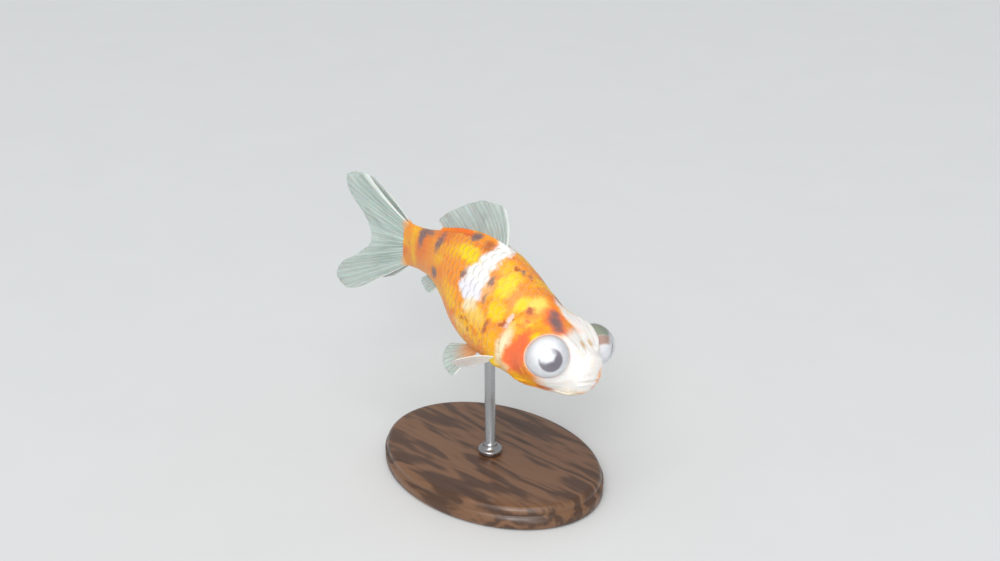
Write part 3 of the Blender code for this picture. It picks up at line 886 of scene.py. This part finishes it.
# Patches of colour: station, angle round the body in degrees, length, height across the body,
# softness of the edge and strength in per cent, colour. Lengths are thousandths of the body's.
PATCHES = (
    # clouds of gold and yellow
    (620, 132, 72, 36, 60, 100, YELLOW),
    (680, 140, 50, 30, 70, 80, GOLD),
    (430, 128, 34, 75, 60, 100, YELLOW),
    (470, 112, 30, 40, 60, 90, GOLD),
    (345, 128, 28, 45, 50, 100, YELLOW),
    (300, 112, 40, 40, 60, 100, PALE_YELLOW),
    (263, 147, 26, 24, 50, 100, YELLOW),
    (235, 136, 26, 22, 60, 80, GOLD),
    (405, 157, 34, 40, 60, 90, YELLOW),
    (362, 196, 42, 80, 60, 90, GOLD),
    (352, 216, 36, 40, 60, 90, YELLOW),
    (470, 178, 50, 40, 70, 70, PALE_YELLOW),
    (925, 190, 24, 60, 60, 90, GOLD),
    (650, 185, 34, 50, 70, 60, GOLD),
    (330, 48, 50, 60, 60, 90, YELLOW),
    (440, 30, 50, 60, 60, 90, YELLOW),
    (650, 40, 70, 50, 60, 90, YELLOW),
    (360, -20, 50, 80, 60, 90, GOLD),
    (480, 70, 40, 40, 60, 80, GOLD),
    (920, -5, 26, 60, 60, 90, GOLD),
    # deeper orange on the tail root and round the dorsal fin's rear base
    (760, 112, 80, 45, 60, 80, DEEP_ORANGE),
    (700, 90, 115, 26, 40, 100, DEEP_ORANGE),
    (870, 150, 60, 90, 60, 70, DEEP_ORANGE),
    (740, 190, 60, 60, 60, 50, DEEP_ORANGE),
    # the white band down from the dorsal fin
    (530, 90, 34, 45, 40, 100, WHITE),
    (532, 108, 32, 45, 40, 100, WHITE),
    (534, 124, 40, 42, 35, 100, WHITE),
    (536, 146, 56, 52, 30, 100, WHITE),
    (534, 162, 58, 44, 30, 100, LILAC),
    (510, 174, 30, 36, 60, 90, CREAM),
    (474, 150, 20, 50, 70, 70, PEACH),
    (530, 66, 28, 50, 50, 95, WHITE),
    (560, 24, 46, 62, 40, 100, LILAC),
    # the pale belly
    (545, 205, 90, 18, 70, 25, CREAM),
    (500, 270, 240, 60, 60, 80, CREAM),
    (220, 270, 130, 70, 60, 90, CREAM),
    # cheeks and gill covers
    (255, 180, 52, 110, 35, 100, RED),
    (255, 0, 52, 110, 35, 100, RED),
    (225, 222, 75, 40, 60, 80, GOLD),
    (225, -42, 75, 40, 60, 80, GOLD),
    # the gill edges, pearly at the top
    (322, 186, 24, 100, 60, 100, CREAM),
    (347, 155, 15, 29, 60, 72, LILAC),
    (292, 216, 18, 48, 70, 90, CREAM),
    (292, -36, 18, 48, 70, 90, CREAM),
    (322, -6, 24, 100, 60, 100, CREAM),
    (347, 25, 15, 29, 60, 72, LILAC),
    # dark marks on the right side
    (645, 101, 27, 27, 60, 100, PURPLE_GREY),
    (575, 108, 17, 32, 70, 82, RED_BROWN),
    (770, 136, 22, 49, 60, 92, PURPLE_GREY),
    (885, 131, 27, 56, 60, 97, PURPLE_GREY),
    (855, 112, 37, 16, 70, 87, PURPLE_GREY),
    (748, 191, 27, 29, 60, 100, PURPLE_GREY),
    (586, 154, 12, 29, 70, 87, PURPLE_GREY),
    (478, 138, 12, 27, 70, 87, PURPLE_GREY),
    (468, 158, 11, 27, 70, 67, PURPLE_GREY),
    (448, 104, 16, 15, 60, 92, RED_BROWN),
    (425, 98, 15, 12, 60, 92, PURPLE_GREY),
    (400, 92, 15, 12, 60, 87, PURPLE_GREY),
    (303, 127, 16, 16, 60, 100, RED_BROWN),
    (412, 178, 12, 39, 70, 97, RED_BROWN),
    (360, 160, 13, 20, 60, 100, RED_BROWN),
    (520, 192, 11, 15, 60, 82, RED_BROWN),
    (495, 190, 10, 11, 60, 72, RED_BROWN),
    (480, 200, 12, 15, 60, 77, RED_BROWN),
    # and on the left
    (400, 60, 22, 17, 60, 92, RED_BROWN),
    (610, 52, 27, 29, 60, 100, PURPLE_GREY),
    (470, 5, 13, 34, 70, 92, RED_BROWN),
    (360, 22, 13, 20, 60, 97, RED_BROWN),
    (760, 20, 22, 34, 60, 100, PURPLE_GREY),
    (870, 50, 17, 44, 60, 97, PURPLE_GREY),
    (690, -20, 22, 22, 60, 92, PURPLE_GREY),
)
# Patches on the head, by place: station, left, up, length, width, height, then as above.
WHITE_FACE = (0, 0, -40, 175, 340, 310, 22, 100, WHITE)
HEAD_PATCHES = (
    (222, -148, 62, 24, 24, 26, 70, 95, YELLOW),
    (206, -172, 10, 20, 20, 26, 70, 70, GOLD),
    (242, -34, 112, 48, 36, 34, 60, 90, RED),
    (205, -62, 98, 48, 42, 36, 60, 90, RED),
    (166, -84, 90, 36, 36, 32, 60, 90, RED),
    (195, 36, 100, 85, 40, 40, 50, 100, WHITE),
    (165, 110, 90, 80, 80, 50, 40, 100, WHITE),
    (260, 36, 120, 50, 26, 30, 60, 85, WHITE),
    (240, -30, 114, 26, 24, 24, 80, 90, PURPLE_GREY),
    (215, -52, 103, 32, 29, 29, 80, 100, PURPLE_GREY),
    (190, -70, 99, 29, 28, 28, 80, 100, PURPLE_GREY),
    (166, -90, 96, 24, 24, 24, 80, 85, PURPLE_GREY),
    (295, 60, 122, 34, 26, 26, 60, 70, PURPLE_GREY),
    (235, 85, 70, 34, 26, 30, 60, 90, RED_BROWN),
    (94, 24, 62, 24, 15, 18, 90, 80, TAN),
    (94, -22, 61, 24, 15, 18, 90, 80, TAN),
    (150, -80, -128, 55, 22, 14, 60, 85, RED_BROWN),
    (150, 80, -128, 55, 22, 14, 60, 85, RED_BROWN),
    (60, -20, -120, 80, 80, 40, 80, 60, CREAM),
    (12, 22, -30, 22, 20, 36, 90, 80, LIP_ORANGE),
    (19, 24, -72, 22, 24, 22, 90, 80, LIP_ORANGE),
    (34, -20, -98, 26, 34, 12, 90, 50, LIP_ORANGE),
)


def markings(f, place):
    """The fish's colours on its straight form: clouds over orange, then each patch in turn."""
    warp = f.vector("SUBTRACT", f.noise(place, 17.0, 4.0, 0.7, "Color"), (0.5, 0.5, 0.5))
    moved = f.vector("MULTIPLY_ADD", warp, (0.06, 0.06, 0.06), place)
    stirred = f.vector("MULTIPLY_ADD", warp, (0.026, 0.026, 0.026), place)
    colour = f.mix(f.ramp(f.noise(place, 9.0, 3.0, 0.5), 0.5, 0.66), ORANGE, GOLD)
    colour = f.over(colour, DEEP_ORANGE, f.noise(place, 16.0, 2.0), 0.54, 0.7, 0.7)
    colour = f.over(colour, RED_BROWN, f.noise(place, 62.0, 1.0), 0.67, 0.74, 0.6)
    colour = patch(f, moved, colour, *WHITE_FACE)
    for station, angle, length, height, *rest in PATCHES:
        centre = plain_form(station / 1000, radians(angle)) * 1000
        colour = patch(f, moved, colour, *centre, length, height, height, *rest)
    for row in HEAD_PATCHES:
        colour = patch(f, stirred, colour, *row)
    for side, _ in SIDES:
        rim = (*mirrored(EYE_CENTRE, side) * 1000, 82.5, 82.5, 82.5, 4, 85, RIM_PINK)
        colour = patch(f, place, colour, *rim)
    return colour


def patch(f, place, colour, station, left, up, length, width, height, soft, strength, shade):
    """colour with an oval patch of shade laid over it; see the tables for the units."""
    away = f.vector("SUBTRACT", place, (station / 1000, left / 1000, up / 1000))
    away = f.vector("MULTIPLY", away, (1000 / length, 1000 / width, 1000 / height))
    reach = f.add("VectorMath", {0: away}, operation="LENGTH").outputs["Value"]
    share = f.ramp(reach, 1.0 - soft / 100, 1.0 + 0.4 * soft / 100, strength / 100, 0.0)
    return f.mix(share, colour, shade)


def flesh(f, weight, scale, radius):
    """Soft light under a thin wet coat."""
    f.set(Subsurface_Weight=weight, Subsurface_Scale=scale, Subsurface_Radius=radius)
    f.set(Coat_Weight=0.1, Coat_Roughness=0.25, Specular_IOR_Level=0.26)


def skin_finish():
    f = Finish("skin")
    place = f.attribute("place")
    mottle = f.noise(place, 90.0, 4.0)
    colour = f.over(markings(f, place), (1.0, 0.93, 0.85), mottle, 0.35, 0.7, 0.22, "SOFT_LIGHT")
    tint = f.noise(place, 24.0, 4.0, 0.6)
    colour = f.over(colour, (1.0, 0.84, 0.66), tint, 0.52, 0.68, 0.35, "MULTIPLY")
    colour = f.over(colour, (0.93, 0.85, 0.9), tint, 0.46, 0.34, 0.35, "MULTIPLY")
    pores = f.noise(place, 260.0, 1.0)
    colour = f.over(colour, (0.8, 0.66, 0.58), pores, 0.66, 0.72, 0.3, "MULTIPLY")
    fine = f.noise(place, 420.0)
    normal = f.bump(fine, 0.3, 0.00003, f.bump(f.noise(place, 110.0), 0.35, 0.00012))
    f.set(Base_Color=colour, Roughness=f.ramp(fine, 0.3, 0.7, 0.34, 0.5), Normal=normal)
    flesh(f, 0.22, 0.001, (1.0, 0.45, 0.25))
    return f.made


def scale_finish():
    """The same markings, each scale with its own tone, a paler free edge and fine growth rings."""
    f = Finish("scales")
    place = f.attribute("place")
    x, y, chance = f.split(f.attribute("scale"))
    colour = f.over(markings(f, place), (0.9, 0.6, 0.3), chance, 0.0, 1.0, 0.12, "SOFT_LIGHT")
    rim = f.reach(x, y)
    edge = f.times(f.ramp(rim, 0.66, 0.9), f.ramp(x, -0.1, 0.5))
    colour = f.mix(f.times(edge, 0.1), colour, (1.0, 0.86, 0.62))
    colour = f.over(colour, (0.55, 0.16, 0.05), x, 0.25, -0.35, 0.16, "MULTIPLY")
    grain = f.noise(place, 300.0)
    rings = f.bump(f.maths("SINE", f.times(rim, 60.0)), 0.12, 0.000012)
    normal = f.bump(grain, 0.3, 0.00003, rings)
    f.set(Base_Color=colour, Roughness=f.ramp(grain, 0.3, 0.7, 0.3, 0.44), Normal=normal)
    flesh(f, 0.08, 0.0005, (1.0, 0.4, 0.2))
    return f.made


def fin_finish(name, whiteness=0.0, flush=0.12, pale_front=0.0):
    """A clear fin with paler rays, bleached by whiteness.

    The flesh's colour runs out as far as flush, and is whiter at the fin's front by pale_front.
    """
    f = Finish(name)
    place = f.attribute("fin")
    across, along, ray = f.split(place)
    streak = f.noise(place, (22.0, 1.4, 0.0))
    cloud = f.noise(place, (7.0, 2.2, 0.0))
    colour = f.mix(f.ramp(streak, 0.3, 0.7), (0.37, 0.46, 0.42), (0.5, 0.6, 0.56))
    colour = f.over(colour, (0.27, 0.33, 0.32), cloud, 0.55, 0.68, 0.6)
    colour = f.mix(f.times(ray, 0.35), colour, (0.8, 0.86, 0.83))
    lead = f.maths("MAXIMUM", f.ramp(across, 0.05, 0.0), f.ramp(across, 0.965, 1.0))
    colour = f.mix(f.times(lead, 0.8), colour, (0.9, 0.93, 0.9))
    colour = f.mix(whiteness, colour, (0.97, 0.92, 0.87))
    root = f.mix(f.ramp(across, 0.3, 0.12, 0.0, pale_front), (0.86, 0.4, 0.12), WHITE)
    colour = f.over(colour, root, along, flush, flush * 0.25, 0.85)
    joints = f.bump(f.times(f.maths("SINE", f.times(along, 150.0)), ray), 0.4, 0.00003)
    normal = f.bump(streak, 0.3, 0.00004, joints)
    solid = f.plus(f.ramp(along, 0.0, 0.9, 0.92, 0.62), f.times(ray, 0.18))
    thin = f.ramp(streak, 0.6, 0.3, 0.0, 0.12)
    solid = f.maths("SUBTRACT", f.plus(solid, f.times(lead, 0.3)), thin)
    solid = f.maths("MINIMUM", f.plus(solid, whiteness * 0.4), 1.0)
    f.set(Base_Color=colour, Roughness=f.ramp(streak, 0.3, 0.7, 0.28, 0.42), Normal=normal)
    f.set(Alpha=solid, Subsurface_Weight=0.2, Subsurface_Scale=0.0006, Specular_IOR_Level=0.35)
    return f.made


def side_patches(f, colour, polar, x, y, cloud):
    """The left eyeball's green and brown patches, round its side, over the colour given."""
    side_on = f.ramp(polar, radians(40), radians(62))
    height = f.plus(f.times(y, 0.91), f.times(x, 0.34))
    height = f.maths("SUBTRACT", height, f.times(f.maths("COSINE", polar), 0.12))
    height = f.plus(height, f.ramp(cloud, 0.3, 0.7, -0.06, 0.06))
    upper = f.times(side_on, f.ramp(height, 0.42, 0.6))
    colour = f.mix(f.times(upper, 0.85), colour, (0.27, 0.32, 0.2))
    brown = f.times(f.ramp(height, -0.04, 0.14), f.ramp(height, 0.6, 0.42))
    return f.mix(f.times(f.times(side_on, brown), 0.75), colour, (0.42, 0.2, 0.11))


def eyeball_finish(word):
    """A silvery iris round a dark grey pupil with a painted highlight over it; the left one has
    side patches.
    """
    f = Finish(f"eyeball_{word}")
    look = f.attribute("look")
    polar, turn_x, turn_y = f.split(look)
    spokes = f.noise(f.vector("MULTIPLY", look, (2.0, 9.0, 9.0)), 3.0, 4.0)
    flat = f.maths("SINE", polar)
    x, y = f.times(flat, turn_x), f.times(flat, turn_y)
    cloud = f.noise(f.add("CombineXYZ", {0: x, 1: y, 2: polar}).outputs[0], 1.8)
    iris = f.mix(f.ramp(spokes, 0.25, 0.65), (0.9, 0.91, 0.94), (1.0, 0.99, 0.98))
    iris = f.over(iris, (0.78, 0.88, 0.95), cloud, 0.5, 0.62, 0.3)
    iris = f.over(iris, (1.0, 0.9, 0.84), cloud, 0.46, 0.34, 0.25)
    pupil = f.mix(f.ramp(polar, 0.0, PUPIL), (0.205, 0.18, 0.215), (0.3, 0.27, 0.3))
    pupil = f.over(pupil, (0.38, 0.36, 0.38), cloud, 0.45, 0.75, 0.45)
    edge = f.plus(polar, f.ramp(spokes, 0.2, 0.8, -0.018, 0.018))
    colour = f.over(pupil, iris, edge, PUPIL * 0.84, PUPIL * 1.12)
    # Painted highlight: a white patch with a ragged edge, laid over the pupil's upper rear part.
    away = f.reach(f.maths("SUBTRACT", x, PAINTED_HIGHLIGHT[0]), f.maths("SUBTRACT", y, PAINTED_HIGHLIGHT[1]))
    uneven = f.noise(f.add("CombineXYZ", {0: x, 1: y}).outputs[0], 2.2, 1.0)
    away = f.plus(away, f.ramp(uneven, 0.3, 0.7, -0.07, 0.07))
    colour = f.over(colour, (1.0, 1.0, 1.0), away, PAINTED_HIGHLIGHT[2] * 1.08, PAINTED_HIGHLIGHT[2] * 0.5, 0.95)
    colour = f.over(colour, (0.97, 0.9, 0.88), polar, IRIS, IRIS * 1.12)
    if word == "left":
        colour = side_patches(f, colour, polar, x, y, cloud)
    normal = f.bump(f.times(spokes, f.ramp(polar, 0.25, PUPIL)), 0.2, 0.00004)
    f.set(Base_Color=colour, Roughness=f.ramp(spokes, 0.3, 0.7, 0.3, 0.45), Normal=normal)
    f.set(Specular_IOR_Level=0.15, Subsurface_Weight=0.6, Subsurface_Scale=0.0015)
    f.set(Subsurface_Radius=(1.0, 1.0, 1.0))
    return f.made


def cornea_finish():
    """Clear where it is looked through, with a wet highlight."""
    f = Finish("cornea")
    f.tree.nodes.remove(f.shader)
    film = f.bump(f.noise(f.attribute("look"), 3.0), 0.15, 0.00004)
    gloss = f.add("BsdfGlossy", {"Color": (1.0, 1.0, 1.0, 1.0), "Roughness": 0.12, "Normal": film})
    clear = f.add("BsdfTransparent", {"Color": (0.97, 0.98, 1.0, 1.0)})
    share = f.times(f.add("Fresnel", {"IOR": 1.5, "Normal": film}).outputs[0], 0.6)
    blend = f.add("MixShader", {0: share, 1: clear.outputs[0], 2: gloss.outputs[0]})
    f.tree.links.new(blend.outputs[0], f.output.inputs["Surface"])
    return f.made


def walnut_finish():
    f = Finish("walnut")
    place = f.add("TexCoord").outputs["Object"]
    fibre = f.noise(place, (60.0, 620.0, 400.0), 5.0)
    figure = f.noise(place, (18.0, 110.0, 80.0), 4.0)
    rings = f.ramp(f.maths("SINE", f.times(figure, 42.0)), -0.9, 0.9)
    colour = f.mix(rings, (0.075, 0.032, 0.014), (0.19, 0.09, 0.042))
    colour = f.over(colour, (0.035, 0.016, 0.008), fibre, 0.55, 0.75, 0.6)
    f.set(Base_Color=colour, Roughness=f.ramp(fibre, 0.3, 0.7, 0.3, 0.46))
    f.set(Normal=f.bump(fibre, 0.25, 0.00005), Coat_Weight=0.25, Coat_Roughness=0.2)
    return f.made


def steel_finish():
    f = Finish("steel")
    place = f.add("TexCoord").outputs["Object"]
    lines = f.noise(place, (900.0, 900.0, 22000.0), 2.0)
    f.set(Base_Color=f.mix(lines, (0.34, 0.34, 0.35), (0.5, 0.5, 0.51)), Metallic=1.0)
    f.set(Roughness=f.ramp(lines, 0.3, 0.7, 0.22, 0.36), Normal=f.bump(lines, 0.15, 0.00001))
    return f.made


# ---- Stand ----
def turned(name, profile, box, segments, slot, finish, replaced, stretch=(1.0, 1.0)):
    """A turned piece from (radius, height) pairs that start and end on the axis of its box."""
    low, high = box
    x, y = (low.x + high.x) / 2, (low.y + high.y) / 2
    profile = np.array(profile)
    turn = np.linspace(0.0, 2 * pi, segments, endpoint=False)
    rings = profile[1:-1]
    points = np.stack([
        x + stretch[0] * rings[:, :1] * np.cos(turn),
        y + stretch[1] * rings[:, :1] * np.sin(turn),
        np.repeat(rings[:, 1:], segments, 1)], -1).reshape(-1, 3)
    points = np.concatenate([points, [(x, y, profile[0, 1]), (x, y, profile[-1, 1])]])
    faces = capped_faces(len(rings), segments)
    mesh_piece(name, points, faces, slot, finish, (replaced,))


def arc(centre, radius, start, end, count):
    """Points of a round in a turned profile, by angle from the axis's outward side."""
    angles = np.radians(np.linspace(start, end, count))
    return [(centre[0] + radius * math.cos(a), centre[1] + radius * math.sin(a)) for a in angles]


def build_plinth(walnut):
    """The oval base, with a rounded foot and a bead under its rounded top edge."""
    low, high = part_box("stand_base")
    rx, ry, top = (high.x - low.x) / 2, (high.y - low.y) / 2, high.z
    out = (rx + ry) / 2
    foot, shoulder = 0.0009, 0.0013  # radii of the two rounds
    profile = [(0.0, 0.0), (out * 0.5, 0.0), (out - 0.0014, 0.0)]
    profile += arc((out - foot, foot), foot, -90, 0, 6)
    profile += [(out, top - 0.0021), (out - 0.0004, top - 0.002), (out - 0.0005, top - 0.0017)]
    profile += arc((out - 0.0017, top - shoulder), shoulder, 0, 90, 9) + [(out - 0.004, top)]
    profile += [(out * 0.6, top), (out * 0.3, top), (0.0, top)]
    stretch = (rx / out, ry / out)
    turned("stand_plinth", profile, (low, high), 192, "walnut", walnut, "stand_base", stretch)


def build_post(steel):
    """The rod, from a collar on the base to a tip just inside the belly's skin."""
    low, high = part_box("stand_rod")
    radius = (high.x - low.x) / 2
    foot, tip = low.z - 0.0003, high.z + 0.0022
    profile = [(0.0, foot), (radius * 2.2, foot)]
    profile += arc((radius * 1.9, foot + 0.0009), 0.00045, 0, 90, 6)
    profile += [(radius * 1.35, foot + 0.0015)]
    profile += arc((radius * 1.05, foot + 0.0022), 0.0003, 0, 60, 4)
    profile += [(radius, foot + 0.0028), (radius, (foot + tip) / 2), (radius, tip - 0.0016)]
    profile += [(radius * 0.62, tip), (0.0, tip)]
    turned("stand_post", profile, (low, high), 64, "steel", steel, "stand_rod")


# ---- Studio ----
# The camera stands where the photograph's did. Its place and the lights' are measured from the
# spine's middle. Each light has its name, place, width and power.
CAMERA_RIGHT = Vector((0.73181, 0.68151, 0.0))
CAMERA_BACK = Vector((0.62258, -0.66853, 0.40678))
CAMERA_AWAY = Vector((0.16642, -0.18371, 0.11764))
CAMERA_LENS = 50.0
CAMERA_SENSOR = 36.0
LIGHTS = (("front", (0.519, -0.786, 0.645), 0.45, 4.0), ("fill", (0.72, -0.56, 0.2), 0.3, 0.9))
SUN_DIRECTION = (-0.25, 0.45, -1.0)
SUN_POWER = 1.15
SKY_POWER = 0.62
FLOOR_REACH = 4.0
FLOOR_DROP = 0.00002  # keeps the floor clear of the stand's underside


def placed(name, data, matrix):
    """A camera or a light, put in the scene."""
    thing = bpy.data.objects.new(name, data)
    bpy.context.scene.collection.objects.link(thing)
    thing.matrix_world = matrix
    return thing


def build_camera():
    data = bpy.data.cameras.new("camera")
    data.lens = CAMERA_LENS
    data.sensor_width = CAMERA_SENSOR
    data.clip_start = 0.01
    up = CAMERA_BACK.cross(CAMERA_RIGHT)
    turn = Matrix((CAMERA_RIGHT, up, CAMERA_BACK)).transposed().to_4x4()
    place = Matrix.Translation(Vector(ANCHOR) + CAMERA_AWAY)
    bpy.context.scene.camera = placed("camera", data, place @ turn)


def build_lights():
    for name, place, width, power in LIGHTS:
        data = bpy.data.lights.new(name, "AREA")
        data.shape = "DISK"
        data.size = width
        data.energy = power
        turn = (-Vector(place)).to_track_quat("-Z", "Y").to_matrix().to_4x4()
        placed(name, data, Matrix.Translation(Vector(ANCHOR) + Vector(place)) @ turn)
    sun = bpy.data.lights.new("key", "SUN")
    sun.energy = SUN_POWER
    sun.angle = radians(50)
    sun.color = (1.0, 0.985, 0.96)
    placed("key", sun, Vector(SUN_DIRECTION).to_track_quat("-Z", "Y").to_matrix().to_4x4())


def build_studio():
    """A plain floor under a plain sky."""
    floor = bpy.data.meshes.new("floor")
    corners = np.array([(-1, -1, 0), (1, -1, 0), (1, 1, 0), (-1, 1, 0)]) * FLOOR_REACH
    floor.from_pydata(corners, [], [(0, 1, 2, 3)])
    stage = bpy.data.objects.new("floor", floor)
    bpy.context.scene.collection.objects.link(stage)
    stage.location.z = -FLOOR_DROP
    f = Finish("floor")
    paper = f.noise(f.add("TexCoord").outputs["Object"], 40.0)
    f.set(Base_Color=f.mix(paper, (0.7, 0.715, 0.715), (0.73, 0.745, 0.745)), Roughness=0.8)
    floor.materials.append(f.made)
    world = bpy.data.worlds.new("world")
    world.use_nodes = True
    sky = world.node_tree.nodes["Background"]
    sky.inputs["Color"].default_value = (0.83, 0.85, 0.87, 1.0)
    sky.inputs["Strength"].default_value = SKY_POWER
    bpy.context.scene.world = world
    bpy.context.scene.view_settings.view_transform = "Standard"


def main():
    build_skin(skin_finish())
    build_scales(scale_finish())
    build_fins(
        fin_finish("fin"), fin_finish("dorsal_fin_membrane", flush=0.22, pale_front=1.0),
        fin_finish("white_fin", whiteness=0.9), fin_finish("flushed_fin", flush=0.75))
    cornea = cornea_finish()
    for side, word in SIDES:
        build_eye(side, word, eyeball_finish(word), cornea)
    build_plinth(walnut_finish())
    build_post(steel_finish())
    build_studio()
    build_lights()
    build_camera()


main()
